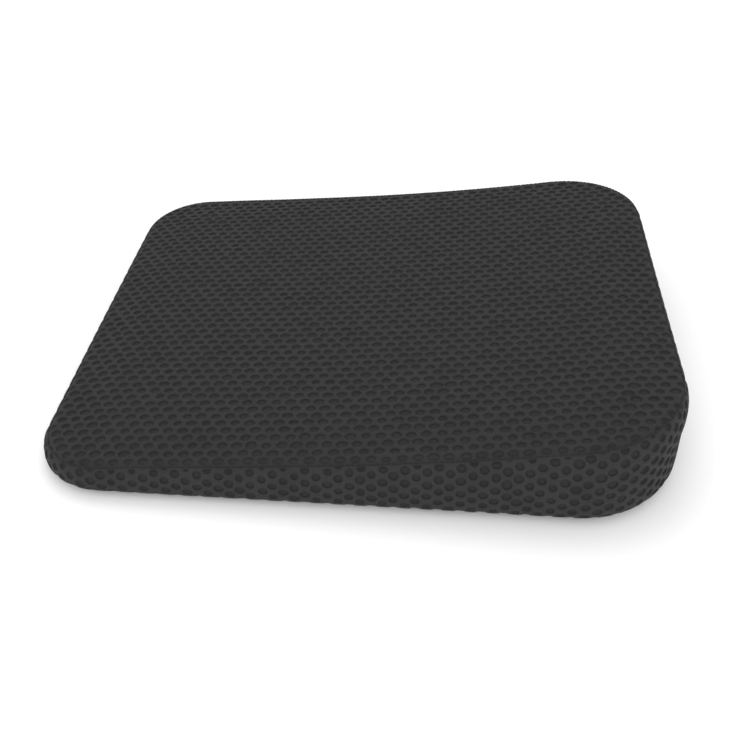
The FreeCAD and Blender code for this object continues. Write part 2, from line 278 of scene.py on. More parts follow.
def honeycomb(u_range, v_range, pitch_u, pitch_v, pit_u, pit_v, start=(0.0, 0.0)):
    """Flat sheet of pitted cells, in staggered rows along u that lie pitch_v / 2 apart.
    Gives vertex places, the share of the pit's depth at each, and faces. start is a cell's
    centre."""
    u_ends = [2 * (u - start[0]) / pitch_u for u in u_range]
    v_ends = [2 * (v - start[1]) / pitch_v for v in v_range]
    iu = np.arange(math.floor(u_ends[0]) - 1, math.ceil(u_ends[1]) + 2)
    iv = np.arange(math.floor(v_ends[0]) - 1, math.ceil(v_ends[1]) + 2)
    grid_u, grid_v = np.meshgrid(iu, iv, indexing="ij")
    used = (grid_u + grid_v) % 2 == 0
    centre = np.stack([grid_u[used] * pitch_u / 2, grid_v[used] * pitch_v / 2], axis=-1) + start
    cells = len(centre)

    half_u = pitch_u / 2
    reach_v = (half_u ** 2 + (pitch_v / 2) ** 2) / pitch_v
    low_v = reach_v - half_u ** 2 / (pitch_v / 2)
    hexagon = [(half_u, -low_v), (half_u, low_v), (0, reach_v),
               (-half_u, low_v), (-half_u, -low_v), (0, -reach_v)]
    border = []
    for index, (u, v) in enumerate(hexagon):
        next_u, next_v = hexagon[(index + 1) % 6]
        border += [(u, v), ((u + next_u) / 2, (v + next_v) / 2)]
    border = np.array(border)
    angle = np.arctan2(border[:, 1] / pit_v, border[:, 0] / pit_u)
    pit = np.stack([pit_u * np.cos(angle), pit_v * np.sin(angle)], axis=-1)

    size = 1 + UNEVEN_SIZE * rng.standard_normal((cells, 1, 1))
    shift = UNEVEN_SHIFT * rng.standard_normal((cells, 1, 2))
    squeeze = 1 + UNEVEN_SQUEEZE * rng.standard_normal((cells, 1, 2))
    depth = 1 + UNEVEN_DEPTH * rng.standard_normal((cells, 1))
    rings = [(None, -RIDGE / PIT_DEPTH)] + [(1.13, 0.0), (0.97, 0.42), (0.80, 1.0)]
    places, depths = [], []
    for scale, share in rings:
        if scale is None:
            places.append(centre[:, None, :] + border[None])
            depths.append(np.full((cells, CORNERS), share))
        else:
            places.append(centre[:, None, :] + shift + pit[None] * scale * size * squeeze)
            depths.append(share * depth * np.ones((1, CORNERS)))
    places.append(centre[:, None, :] + shift)
    depths.append(0.93 * depth)
    place = np.concatenate(places, axis=1)
    share = np.concatenate(depths, axis=1)

    faces = ring_faces(len(rings), CORNERS)
    last = (len(rings) - 1) * CORNERS
    fans = [[last + k, last + (k + 1) % CORNERS, last + CORNERS] for k in range(CORNERS)]
    per_cell = place.shape[1]
    offset = (np.arange(cells) * per_cell)[:, None, None]
    quads = (np.array(faces)[None] + offset).reshape(-1, 4)
    triangles = (np.array(fans)[None] + offset).reshape(-1, 3)
    return place.reshape(-1, 2), share.reshape(-1), quads, triangles


def merge(points, values, quads, triangles, dropped):
    """Welds vertices that lie together and leaves out faces made only of dropped vertices."""
    keys = np.round(points / (0.02 * MM)).astype(np.int64)
    _, first, back = np.unique(keys, axis=0, return_index=True, return_inverse=True)
    back = back.reshape(-1)
    faces = []
    for block in (quads, triangles):
        keep = ~dropped[block].all(axis=1)
        for face in back[block[keep]].tolist():
            corners = [c for k, c in enumerate(face) if c != face[k - 1]]
            if len(set(corners)) == len(corners) and len(corners) > 2:
                faces.append(corners)
    used = np.unique(np.concatenate([np.array(f) for f in faces]))
    renumber = np.full(len(first), -1)
    renumber[used] = np.arange(len(used))
    faces = [[int(renumber[c]) for c in face] for face in faces]
    picked = first[used]
    return points[picked], [v[picked] for v in values], faces


def make_object(name, points, faces, material, smooth_shading=True):
    mesh = bpy.data.meshes.new(name)
    mesh.from_pydata(points.tolist() if hasattr(points, "tolist") else points, [], faces)
    mesh.validate()
    mesh.update()
    if smooth_shading:
        mesh.shade_smooth()
    piece = bpy.data.objects.new(name, mesh)
    bpy.context.collection.objects.link(piece)
    piece.data.materials.append(material)
    return piece


def add_float(piece, name, values):
    layer = piece.data.attributes.new(name, "FLOAT", "POINT")
    layer.data.foreach_set("value", np.asarray(values, dtype=np.float32))


def add_uv(piece, uv):
    """Lengths on the flat sheet, in metres, as the piece's UV map."""
    layer = piece.data.uv_layers.new(name="sheet")
    corner = np.empty(len(piece.data.loops), dtype=np.int32)
    piece.data.loops.foreach_get("vertex_index", corner)
    layer.data.foreach_set("uv", np.asarray(uv, dtype=np.float32)[corner].reshape(-1))


def ripple(place, size, seed):
    """Slow unevenness between -1 and 1, from a few fixed waves."""
    waves = np.random.default_rng(seed)
    total = np.zeros(len(place))
    for _ in range(6):
        direction = waves.uniform(-1, 1, place.shape[1])
        total += np.sin(place @ direction / size * 2 * math.pi + waves.uniform(0, 2 * math.pi))
    return total / 6


def finish_sheet(points, normals, share, seam_distance, firmness=1.0):
    """Presses the pits in, fades them out at the seam and draws the seam in, and gives the pit
    shares that set the painted shade. firmness scales the depth of the pits, not that shade."""
    fade = smooth(seam_distance / FADE)
    uneven = 1 + 0.35 * ripple(points, 30 * MM, 3)
    pinch = PINCH * uneven * np.exp(-(seam_distance / PINCH_WIDTH) ** 2)
    push = -(PIT_DEPTH * firmness * share * fade + pinch)
    return points + normals * push[:, None], share * fade


# Closed forms: the starting shape of the cloth simulation, the liner and the foams

STATIONS = 240


def perimeter_stations():
    return np.arange(STATIONS) * PERIMETER / STATIONS


def closed_form(inset, keep_low=0.0, keep_high=1.0):
    """Closed solid with the cushion's outer form drawn in by inset. keep_low and keep_high are
    the shares of the local height that are kept."""
    s = perimeter_stations()
    seam, _ = wall(s, np.zeros_like(s))
    rows = []
    for t in [0.0, 0.06, 0.15, 0.28, 0.42, 0.56, 0.7, 0.83, 0.93]:
        x = seam[:, 0] * t
        y = seam[:, 1] * t
        rows.append(seat(x, y))
    for f in np.linspace(0, 1, 13):
        rows.append(wall(s, np.full_like(s, f)))
    foot, _ = wall(s, np.ones_like(s))
    for t in [0.95, 0.8, 0.5, 0.2, 0.0]:
        flat = np.stack([foot[:, 0] * t, foot[:, 1] * t, np.full_like(s, COVER_Z)], axis=-1)
        rows.append((flat, np.broadcast_to([0.0, 0.0, -1.0], flat.shape)))
    points = np.concatenate([p - n * inset for p, n in rows])
    low = COVER_Z + inset
    thickness = seat_height(points[:, 1]) - inset - low
    floor = low + keep_low * thickness
    ceiling = low + keep_high * thickness
    if keep_low > 0:
        points[:, 2] = np.maximum(points[:, 2], floor)
    if keep_high < 1:
        points[:, 2] = np.minimum(points[:, 2], ceiling)
    return points, ring_faces(len(rows), STATIONS)


def weld(piece, distance):
    work = bmesh.new()
    work.from_mesh(piece.data)
    bmesh.ops.remove_doubles(work, verts=work.verts, dist=distance)
    bmesh.ops.dissolve_degenerate(work, edges=work.edges, dist=distance / 4)
    bmesh.ops.recalc_face_normals(work, faces=work.faces)
    work.to_mesh(piece.data)
    work.free()


VOXEL = 6 * MM
PRESSURE = 4.0
FRAMES = 20
# Free, the seat would lift by up to 10 mm. The cap keeps it flat, as in the photograph, and so
# leaves a nearly even lift that runs out towards the seams
SWELL_CAP = 1.6 * MM
ZIP_HOLD = 8 * MM


def coordinates(mesh):
    flat = np.empty(len(mesh.vertices) * 3, dtype=np.float32)
    mesh.vertices.foreach_get("co", flat)
    return flat.reshape(-1, 3).astype(float)


def beside_zip(place):
    """True near the zip's window, where the tape holds the cover flat."""
    x, y, z = place
    return (y > HALF_L - ZIP_HOLD and abs(x) < WINDOW_END + ZIP_HOLD
            and WINDOW_BASE - ZIP_HOLD < z < WINDOW_TOP + ZIP_HOLD)


def swelling():
    """Inflates the cover as cloth, held along its seams and on the floor, and gives a function
    that says how far each point of the cover moves."""
    points, faces = closed_form(0.0)
    plain = bpy.data.materials.new("form")
    form = make_object("form", points, faces, plain)
    weld(form, 0.4 * MM)
    remesh = form.modifiers.new("remesh", "REMESH")
    remesh.mode = "VOXEL"
    remesh.voxel_size = VOXEL
    depsgraph = bpy.context.evaluated_depsgraph_get()
    rest = bpy.data.meshes.new_from_object(form.evaluated_get(depsgraph))
    form.modifiers.clear()
    form.data = rest
    start = coordinates(rest)

    s = np.arange(0, PERIMETER, 3 * MM)
    seams = np.concatenate([wall(s, np.zeros_like(s))[0], wall(s, np.ones_like(s))[0]])
    held = form.vertex_groups.new(name="held")
    tree = KDTree(len(seams))
    for index, place in enumerate(seams):
        tree.insert(place, index)
    tree.balance()
    for index, place in enumerate(start):
        distance = tree.find(place)[2]
        if distance < VOXEL or place[2] < COVER_Z + 1 * MM or beside_zip(place):
            held.add([index], 1.0, "REPLACE")

    cloth = form.modifiers.new("cloth", "CLOTH")
    cloth.settings.quality = 6
    cloth.settings.mass = 0.25
    cloth.settings.tension_stiffness = 20
    cloth.settings.compression_stiffness = 20
    cloth.settings.bending_stiffness = 2
    cloth.settings.use_pressure = True
    cloth.settings.uniform_pressure_force = PRESSURE
    cloth.settings.vertex_group_mass = "held"
    cloth.settings.effector_weights.gravity = 0
    cloth.point_cache.frame_end = FRAMES
    scene = bpy.context.scene
    for number in range(1, FRAMES + 1):
        scene.frame_set(number)
    depsgraph = bpy.context.evaluated_depsgraph_get()
    settled = form.evaluated_get(depsgraph).to_mesh()
    end = coordinates(settled)
    scene.frame_set(1)
    move = end - start
    far = np.linalg.norm(move, axis=1, keepdims=True) + 1e-9
    move *= SWELL_CAP * np.tanh(far / SWELL_CAP) / far
    print("cloth moved", round(float(far.max()) / MM, 2), "mm at most, mean",
          round(float(far.mean()) / MM, 2))
    rest.calc_loop_triangles()
    triangles = [tuple(t.vertices) for t in rest.loop_triangles]
    surface = BVHTree.FromPolygons([Vector(p) for p in start], triangles)
    bpy.data.objects.remove(form)
    bpy.data.materials.remove(plain)

    def moved(points):
        result = np.zeros_like(points)
        for index, point in enumerate(points):
            near, _, face, _ = surface.find_nearest(point)
            corners = triangles[face]
            gaps = [math.dist(near, start[c]) + 1e-6 for c in corners]
            weights = [1 / g for g in gaps]
            total = sum(weights)
            result[index] = sum(w / total * move[c] for w, c in zip(weights, corners))
        return result
    return moved


# Cover panels

def seat_panel(material, moved):
    place, share, quads, triangles = honeycomb(
        (-HALF_L, HALF_L), (-HALF_W, HALF_W), CELL_LONG, CELL_WIDE, PIT_LONG, PIT_WIDE,
        SEAT_CELL)
    y = place[:, 0].copy()
    x = place[:, 1].copy()
    outside = seat_distance(x, y)[0] < 0
    for _ in range(4):
        distance, gx, gy = seat_distance(x, y)
        over = np.minimum(distance, 0)
        x += gx * over
        y += gy * over
    distance = np.maximum(seat_distance(x, y)[0], 0)
    points, normals = seat(x, y)
    points, pit = finish_sheet(points, normals, share, distance)
    points, (pit, uv), faces = merge(points, [pit, place], quads, triangles, outside)
    points += moved(points)
    piece = make_object("seat_panel", points, [f[::-1] for f in faces], material)
    add_float(piece, "pit", pit)
    add_uv(piece, uv)
    return piece


def wall_panel(name, material, moved, s_range, low=None, high=None, hem_low=False, hem_high=False):
    """A strip of the boxing between two places on the outline. low and high are heights along
    the wall, from the base seam; left out, the strip runs from seam to seam. A hem is a folded
    edge, which isn't drawn in as a seam is."""
    columns = round(PERIMETER / CELL_WIDE)
    pitch = PERIMETER / columns
    tallest = float(wall_length(np.array([0.0]))[0])
    place, share, quads, triangles = honeycomb(
        (0, tallest), s_range, WALL_CELL_HIGH, pitch, WALL_PIT, PIT_WIDE, WALL_CELL)
    w = place[:, 0].copy()
    s = place[:, 1].copy()
    full = wall_length(s)
    bottom = np.zeros_like(w) if low is None else np.full_like(w, low)
    top = full if high is None else np.full_like(w, high)
    outside = (w < bottom) | (w > top) | (s < s_range[0]) | (s > s_range[1])
    s = np.clip(s, *s_range)
    full = wall_length(s)
    top = full if high is None else top
    w = np.clip(w, bottom, top)
    points, normals = wall(s, 1 - w / full)
    to_low = w - bottom
    to_high = top - w
    to_end = np.minimum(s - s_range[0], s_range[1] - s)
    edge = np.minimum(np.minimum(to_low, to_high), to_end)
    seams = [to_end]
    if not hem_low:
        seams.append(to_low)
    if not hem_high:
        seams.append(to_high)
    seam = np.minimum.reduce(seams)
    flattened = 1.0
    if low is None:
        flattened = FLAT_SHARE + (1 - FLAT_SHARE) * smooth(to_low / FLAT_REACH)
    points, pit = finish_sheet(points, normals, share, edge, flattened)
    lift = PINCH * (np.exp(-(edge / PINCH_WIDTH) ** 2) - np.exp(-(seam / PINCH_WIDTH) ** 2))
    points = points + normals * lift[:, None]
    points, (pit, uv), faces = merge(points, [pit, place], quads, triangles, outside)
    points += moved(points)
    if hem_low or hem_high:
        fold, fold_uv, fold_faces = hem(s_range, low if hem_low else high, -1 if hem_low else 1)
        faces += [[c + len(points) for c in face] for face in fold_faces]
        points = np.concatenate([points, fold])
        pit = np.concatenate([pit, np.zeros(len(fold))])
        uv = np.concatenate([uv, fold_uv])
    piece = make_object(name, points, faces, material)
    weld(piece, 0.02 * MM)
    add_float(piece, "pit", vertex_values(points, pit, coordinates(piece.data)))
    add_uv(piece, vertex_values(points, uv, coordinates(piece.data)))
    return piece


# Folded edge, in mm: how far out from the wall, and how far past the edge
FOLD = [(-0.6, -4.0), (0.25, -3.2), (0.35, -1.0), (0.25, 0.0), (-0.2, 0.45), (-0.9, 0.7),
        (-2.2, 0.7), (-3.9, 0.6)]


def hem(s_range, w, side):
    """The turned-in edge of a strip along the zip's window. side is 1 when it turns upwards."""
    s = np.linspace(s_range[0], s_range[1], 107)
    rows, uv = [], []
    for out, past in FOLD:
        along = np.full_like(s, w + side * past * MM)
        points, normals = wall(s, 1 - along / wall_length(s))
        rows.append(points + normals * out * MM)
        uv.append(np.stack([along + out * MM, s], axis=-1))
    faces = []
    count = len(s)
    for row in range(len(rows) - 1):
        for k in range(count - 1):
            a = row * count + k
            quad = [a, a + 1, a + 1 + count, a + count]
            faces.append(quad if side < 0 else quad[::-1])
    return np.concatenate(rows), np.concatenate(uv), faces


def vertex_values(points, values, wanted):
    """Values given at points, looked up at the same places after a weld."""
    tree = KDTree(len(points))
    for index, point in enumerate(points):
        tree.insert(point, index)
    tree.balance()
    found = [tree.find(point)[1] for point in wanted]
    return np.asarray(values)[found]


def height_on_rear(z):
    """Length along the rear wall from the base seam to height z."""
    s = np.zeros(129)
    f = np.linspace(0, 1, 129)
    points, _ = wall(s, f)
    share = np.interp(-z, -points[:, 2], f)
    return float((1 - share) * wall_length(np.array([0.0]))[0])


def base_sheet(material):
    """Plain base cloth, flat on its coating and curving up to the base seam."""
    s = np.linspace(0, PERIMETER, 480, endpoint=False)
    seam, normals = wall(s, np.ones_like(s))
    seam = seam - normals * PINCH
    rows = []
    for t in [1.0, 0.995, 0.985, 0.97, 0.95, 0.9, 0.8, 0.65, 0.5, 0.35, 0.2, 0.1, 0.02]:
        x = seam[:, 0] * t
        y = seam[:, 1] * t
        share = np.clip(1 - (1 - t) / 0.03, 0, 1)
        z = COVER_Z + (seam[:, 2] - COVER_Z) * share ** 2
        rows.append(np.stack([x, y, z], axis=-1))
    points = np.concatenate(rows)
    faces = ring_faces(len(rows), len(s))
    last = (len(rows) - 1) * len(s)
    faces.append([last + k for k in range(len(s))])
    piece = make_object("base_cloth", points, faces, material)
    weld(piece, 0.05 * MM)
    add_uv(piece, coordinates(piece.data)[:, :2])
    return piece


# Materials

class Nodes:
    """A material's node tree, with short ways to add what is used often."""

    def __init__(self, name):
        self.material = bpy.data.materials.new(name)
        self.material.use_nodes = True
        self.tree = self.material.node_tree
        self.tree.nodes.clear()
        output = self.add("ShaderNodeOutputMaterial")
        self.shader = self.add("ShaderNodeBsdfPrincipled")
        self.link(self.shader.outputs[0], output.inputs[0])

    def add(self, kind, **settings):
        node = self.tree.nodes.new(kind)
        for key, value in settings.items():
            setattr(node, key, value)
        return node

    def link(self, source, target):
        self.tree.links.new(source, target)

    def math(self, operation, first, second=0.0):
        node = self.add("ShaderNodeMath", operation=operation)
        for socket, value in zip(node.inputs, (first, second)):
            if isinstance(value, (int, float)):
                socket.default_value = value
            else:
                self.link(value, socket)
        return node.outputs[0]

    def noise(self, scale, detail=3.0, vector=None):
        node = self.add("ShaderNodeTexNoise")
        node.inputs["Scale"].default_value = scale
        node.inputs["Detail"].default_value = detail
        self.link(vector or self.add("ShaderNodeTexCoord").outputs["Object"], node.inputs["Vector"])
        return node.outputs["Fac"]

    def ramp(self, value, stops):
        """Colour ramp from (position, grey or colour) stops."""
        node = self.add("ShaderNodeValToRGB")
        ramp = node.color_ramp
        while len(ramp.elements) < len(stops):
            ramp.elements.new(0.5)
        for element, (position, colour) in zip(ramp.elements, stops):
            element.position = position
            grey = isinstance(colour, (int, float))
            element.color = (colour, colour, colour, 1) if grey else (*colour, 1)
        self.link(value, node.inputs[0])
        return node.outputs[0]

    def multiply(self, colour, factor):
        node = self.add("ShaderNodeMix", data_type="RGBA", blend_type="MULTIPLY")
        node.inputs["Factor"].default_value = 1.0
        self.link(colour, node.inputs[6])
        self.link(factor, node.inputs[7])
        return node.outputs[2]

    def bump(self, height, distance, strength=1.0):
        node = self.add("ShaderNodeBump")
        node.inputs["Strength"].default_value = strength
        node.inputs["Distance"].default_value = distance
        self.link(height, node.inputs["Height"])
        self.link(node.outputs[0], self.shader.inputs["Normal"])

    def weave(self, pitch_u, pitch_v, axes=None):
        """Crossing threads, between 0 and 1, from the sheet's own lengths, or from two of the
        object's axes."""
        split = self.add("ShaderNodeSeparateXYZ")
        if axes is None:
            source = self.add("ShaderNodeUVMap", uv_map="sheet").outputs[0]
            axes = (0, 1)
        else:
            source = self.add("ShaderNodeTexCoord").outputs["Object"]
        self.link(source, split.inputs[0])
        u, v = (split.outputs[axis] for axis in axes)
        across = self.math("SINE", self.math("MULTIPLY", u, 2 * math.pi / pitch_u))
        along = self.math("SINE", self.math("MULTIPLY", v, 2 * math.pi / pitch_v))
        both = self.math("MULTIPLY", across, along)
        return self.math("ADD", self.math("MULTIPLY", both, 0.5), 0.5)


def fabric_base(name, roughness, sheen):
    nodes = Nodes(name)
    nodes.shader.inputs["Roughness"].default_value = roughness
    nodes.shader.inputs["Specular IOR Level"].default_value = 0.25
    nodes.shader.inputs["Sheen Weight"].default_value = sheen
    nodes.shader.inputs["Sheen Roughness"].default_value = 0.45
    return nodes


def charcoal(value):
    """Nearly neutral dark grey, a touch cool."""
    return (value, value, 1.01 * value)


def air_mesh(name, ridge, ring, pit_floor):
    """Charcoal spacer knit: light ridges, pit walls dark, partly from the inner knit and partly as
    painted shade, floors a little lighter than those.
    """
    nodes = fabric_base(name, 0.85, 0.03)
    pit = nodes.add("ShaderNodeAttribute", attribute_name="pit")
    # ring, the pit walls' grey, is partly the inner knit's darker colour and partly painted shade in
    # the recesses; the pit attribute says how far down a pit each point lies
    colour = nodes.ramp(pit.outputs["Fac"], [
        (0.0, charcoal(ridge)), (0.12, charcoal(0.975 * ridge)), (0.45, charcoal(ring)),
        (0.80, charcoal(0.8 * pit_floor)), (1.0, charcoal(pit_floor))])
    knit = nodes.weave(0.75 * MM, 1.1 * MM)
    shade = nodes.ramp(nodes.noise(60.0), [(0.3, 0.93), (0.7, 1.07)])
    threads = nodes.ramp(knit, [(0.0, 0.86), (1.0, 1.10)])
    nodes.link(nodes.multiply(nodes.multiply(colour, shade), threads),
               nodes.shader.inputs["Base Color"])
    rough = nodes.ramp(nodes.noise(900.0), [(0.2, 0.78), (0.8, 0.95)])
    nodes.link(rough, nodes.shader.inputs["Roughness"])
    fuzz = nodes.math("ADD", knit, nodes.math("MULTIPLY", nodes.noise(1500.0), 0.6))
    nodes.bump(fuzz, 0.12 * MM, 0.8)
    return nodes.material


def plain_cloth(name, colour, pitch=0.5 * MM, sheen=0.1, axes=None):
    nodes = fabric_base(name, 0.9, sheen)
    weave = nodes.weave(pitch, pitch, axes)
    shade = nodes.ramp(nodes.noise(45.0), [(0.3, tuple(c * 0.88 for c in colour)),
                                           (0.7, tuple(min(1, c * 1.12) for c in colour))])
    threads = nodes.ramp(weave, [(0.0, 0.8), (1.0, 1.1)])
    nodes.link(nodes.multiply(shade, threads), nodes.shader.inputs["Base Color"])
    nodes.bump(weave, 0.08 * MM, 0.7)
    return nodes.material


def thread_material():
    """Twisted polyester thread."""
    nodes = fabric_base("thread", 0.75, 0.0)
    twist = nodes.noise(2500.0)
    colour = nodes.ramp(twist, [(0.3, 0.008), (0.7, 0.018)])
    nodes.link(colour, nodes.shader.inputs["Base Color"])
    nodes.bump(twist, 0.08 * MM)
    return nodes.material


def foam_material(name, colour):
    """Open-cell foam: fine pores over slow colour changes."""
    nodes = fabric_base(name, 0.95, 0.0)
    pores = nodes.noise(700.0, 4.0)
    tone = nodes.ramp(nodes.noise(18.0), [(0.3, tuple(c * 0.92 for c in colour)), (0.7, colour)])
    shade = nodes.ramp(pores, [(0.35, 0.72), (0.55, 1.0)])
    nodes.link(nodes.multiply(tone, shade), nodes.shader.inputs["Base Color"])
    nodes.bump(pores, 0.4 * MM)
    return nodes.material


def lacquer_material():
    """Black lacquered zinc, rubbed a little lighter in places."""
    nodes = Nodes("zip_lacquer")
    nodes.shader.inputs["Metallic"].default_value = 0.6
    nodes.shader.inputs["Coat Weight"].default_value = 0.3
    nodes.shader.inputs["Coat Roughness"].default_value = 0.25
    worn = nodes.noise(420.0, 5.0)
    colour = nodes.ramp(worn, [(0.35, (0.018, 0.018, 0.019)), (0.8, (0.060, 0.060, 0.062))])
    nodes.link(colour, nodes.shader.inputs["Base Color"])
    nodes.link(nodes.ramp(worn, [(0.3, 0.32), (0.7, 0.48)]), nodes.shader.inputs["Roughness"])
    nodes.bump(nodes.noise(1800.0), 0.03 * MM, 0.5)
    return nodes.material


def nylon_material():
    nodes = Nodes("zip_nylon")
    nodes.shader.inputs["Specular IOR Level"].default_value = 0.45
    grain = nodes.noise(1200.0)
    colour = nodes.ramp(grain, [(0.3, (0.020, 0.020, 0.021)), (0.7, (0.034, 0.034, 0.035))])
    nodes.link(colour, nodes.shader.inputs["Base Color"])
    nodes.link(nodes.ramp(grain, [(0.3, 0.38), (0.7, 0.5)]), nodes.shader.inputs["Roughness"])
    nodes.bump(grain, 0.03 * MM, 0.5)
    return nodes.material


def grip_material():
    """Moulded rubbery print."""
    nodes = Nodes("grip_rubber")
    nodes.shader.inputs["Specular IOR Level"].default_value = 0.35
    grain = nodes.noise(1500.0, 4.0)
    dust = nodes.noise(35.0)
    colour = nodes.ramp(dust, [(0.35, 0.017), (0.75, 0.028)])
    nodes.link(colour, nodes.shader.inputs["Base Color"])
    nodes.link(nodes.ramp(grain, [(0.3, 0.5), (0.7, 0.68)]), nodes.shader.inputs["Roughness"])
    nodes.bump(grain, 0.05 * MM, 0.5)
    return nodes.material


# Threads, zip and underside

def tube_rows(centres, directions, ups, lengths, radius, sides=6):
    """Short rounded rods, one at each centre, as one mesh."""
    profile = [(-0.5, 0.0), (-0.46, 0.6), (-0.3, 0.95), (0.0, 1.0), (0.3, 0.95), (0.46, 0.6),
               (0.5, 0.0)]
    turn = np.arange(sides) * 2 * math.pi / sides
    across = np.cross(directions, ups)
    across /= np.linalg.norm(across, axis=-1, keepdims=True)
    over = np.cross(across, directions)
    points = []
    per_rod = len(profile) * sides
    for along, width in profile:
        ring = (centres[:, None, :] + directions[:, None, :] * along * lengths
                + across[:, None, :] * np.cos(turn)[None, :, None] * width * radius
                + over[:, None, :] * np.sin(turn)[None, :, None] * width * radius)
        points.append(ring)
    points = np.concatenate(points, axis=1).reshape(-1, 3)
    rod_faces = np.array(ring_faces(len(profile), sides))
    offsets = per_rod * np.arange(len(centres))[:, None, None]
    return points, (rod_faces[None] + offsets).reshape(-1, 4).tolist()


STITCH_PITCH = 3.6 * MM
STITCH = 2.9 * MM
THREAD_RADIUS = 0.34 * MM
# How deep a seam's stitches lie, in the groove that the seam draws in
SEAM_STITCH_DEPTH = PINCH - 0.15 * MM


def stitches(name, path, ups, material, moved=None, pitch=STITCH_PITCH):
    """A row of stitches along a path given as closely spaced points."""
    gaps = np.linalg.norm(np.diff(path, axis=0), axis=1)
    run = np.concatenate([[0], np.cumsum(gaps)])
    count = max(2, int(run[-1] / pitch))
    wanted = (np.arange(count) + 0.5) * run[-1] / count
    step = 0.5 * MM

    def at(places, values):
        return np.stack([np.interp(places, run, values[:, k]) for k in range(3)], axis=-1)

    centres = at(wanted, path)
    directions = at(wanted + step, path) - at(wanted - step, path)
    directions /= np.linalg.norm(directions, axis=-1, keepdims=True)
    raised = at(wanted, ups)
    if moved:
        centres = centres + moved(centres)
    points, faces = tube_rows(centres, directions, raised, STITCH * pitch / STITCH_PITCH,
                              THREAD_RADIUS)
    piece = make_object(name, points, faces, material)
    weld(piece, 0.01 * MM)
    return piece


def seam_threads(material, moved):
    s = np.linspace(0, PERIMETER, 1500)
    pieces = []
    for name, f in (("top_seam_stitches", 0.0), ("base_seam_stitches", 1.0)):
        points, normals = wall(s, np.full_like(s, f))
        path = points - normals * SEAM_STITCH_DEPTH
        pieces.append(stitches(name, path, normals, material, moved))
    return pieces


def closing_threads(material, moved):
    """Upright stitch rows at both ends of the rear strips."""
    f = np.linspace(0.03, 0.97, 60)
    parts = []
    for s in (WINDOW_END, PERIMETER - WINDOW_END):
        points, normals = wall(np.full_like(f, s), f)
        path = points - normals * SEAM_STITCH_DEPTH
        parts.append(stitches("closing", path, normals, material, moved))
    return joined("closing_seam_stitches", parts)


def joined(name, parts):
    """Several objects as one."""
    with bpy.context.temp_override(active_object=parts[0], selected_editable_objects=parts,
                                   selected_objects=parts):
        bpy.ops.object.join()
    parts[0].name = name
    parts[0].data.name = name
    return parts[0]


ZIP_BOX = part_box("zipper_coil_upper")
COIL_GAP = 0.02 * MM
ZIP_Z = ZIP_BOX[0][2] - COIL_GAP
COIL_Y = (ZIP_BOX[0][1] + ZIP_BOX[1][1]) / 2
COIL_X = ZIP_BOX[1][0]
SLIDER_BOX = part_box("zipper_slider")
SLIDER_X = (SLIDER_BOX[0][0] + SLIDER_BOX[1][0]) / 2
COIL_PITCH = 1.35 * MM
COIL_WIRE = 0.36 * MM
COIL_HALF = (1.15 * MM, 0.70 * MM)
COIL_MIDDLE = 1.25 * MM
COIL_SPREAD = 1.6 * MM
SPREAD_START = 3 * MM
SPREAD_RUN = 7 * MM
TURN_STEPS = 14


def coil(name, side, material):
    """One side of the zip: a wire wound round and round, spread apart ahead of the slider."""
    turns = 2 * COIL_X / COIL_PITCH
    steps = int(turns * TURN_STEPS)
    turn = np.linspace(0, turns * 2 * math.pi, steps)
    x = -COIL_X + COIL_PITCH * (turn / (2 * math.pi))
    phase = turn + (math.pi if side < 0 else 0)
    spread = COIL_SPREAD * np.clip((x - SLIDER_X + SPREAD_START) / SPREAD_RUN, 0, 1)
    z = ZIP_Z + side * (COIL_MIDDLE + spread + COIL_HALF[0] * np.cos(phase))
    y = COIL_Y + COIL_HALF[1] * np.sin(phase)
    centre = np.stack([x, y, z], axis=-1)
    forward = np.gradient(centre, axis=0)
    forward /= np.linalg.norm(forward, axis=-1, keepdims=True)
    across = np.cross(forward, [1.0, 0.0, 0.0])
    across /= np.linalg.norm(across, axis=-1, keepdims=True)
    over = np.cross(across, forward)
    sides = 6
    angle = np.arange(sides) * 2 * math.pi / sides
    ring = (centre[:, None, :] + COIL_WIRE * (across[:, None, :] * np.cos(angle)[None, :, None]
            + over[:, None, :] * np.sin(angle)[None, :, None]))
    points = ring.reshape(-1, 3)
    faces = ring_faces(steps, sides)
    faces.append(list(range(sides))[::-1])
    faces.append([(steps - 1) * sides + k for k in range(sides)])
    piece = make_object(name, points, faces, material)
    weld(piece, 0.005 * MM)
    return piece


ZIP_STITCH = 9 * MM
ZIP_STITCH_PITCH = 3.0 * MM
ZIP_STITCH_END = 3 * MM
STITCH_RISE = 0.15 * MM
METAL_EDGE = 0.22 * MM


def rounded_metal(node, material):
    """A copy of a CAD node's shape with its edges rounded, as die-cast zip parts have them."""
    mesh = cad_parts[node].data.copy()
    work = bmesh.new()
    work.from_mesh(mesh)
    bmesh.ops.remove_doubles(work, verts=work.verts, dist=0.005 * MM)
    bmesh.ops.dissolve_limit(work, angle_limit=math.radians(2), verts=work.verts,
                             edges=work.edges)
    work.to_mesh(mesh)
    work.free()
    holder = bpy.data.objects.new(node, mesh)
    bpy.context.collection.objects.link(holder)
    bevel = holder.modifiers.new("edges", "BEVEL")
    bevel.width = METAL_EDGE
    bevel.segments = 3
    bevel.limit_method = "ANGLE"
    bevel.harden_normals = True
    depsgraph = bpy.context.evaluated_depsgraph_get()
    finished = bpy.data.meshes.new_from_object(holder.evaluated_get(depsgraph))
    bpy.data.objects.remove(holder)
    finished.materials.clear()
    finished.materials.append(material)
    piece = bpy.data.objects.new(node.replace("zipper", "rounded"), finished)
    bpy.context.collection.objects.link(piece)
    return piece


def zip_stitches(name, side, material):
    """The row that sews a strip's folded edge to the tape behind it."""
    s = np.linspace(-WINDOW_END + ZIP_STITCH_END, WINDOW_END - ZIP_STITCH_END, 200)
    height = height_on_rear(ZIP_Z + side * ZIP_STITCH)
    points, normals = wall(s, 1 - height / wall_length(s))
    path = points + normals * STITCH_RISE
    return stitches(name, path, normals, material, pitch=ZIP_STITCH_PITCH)


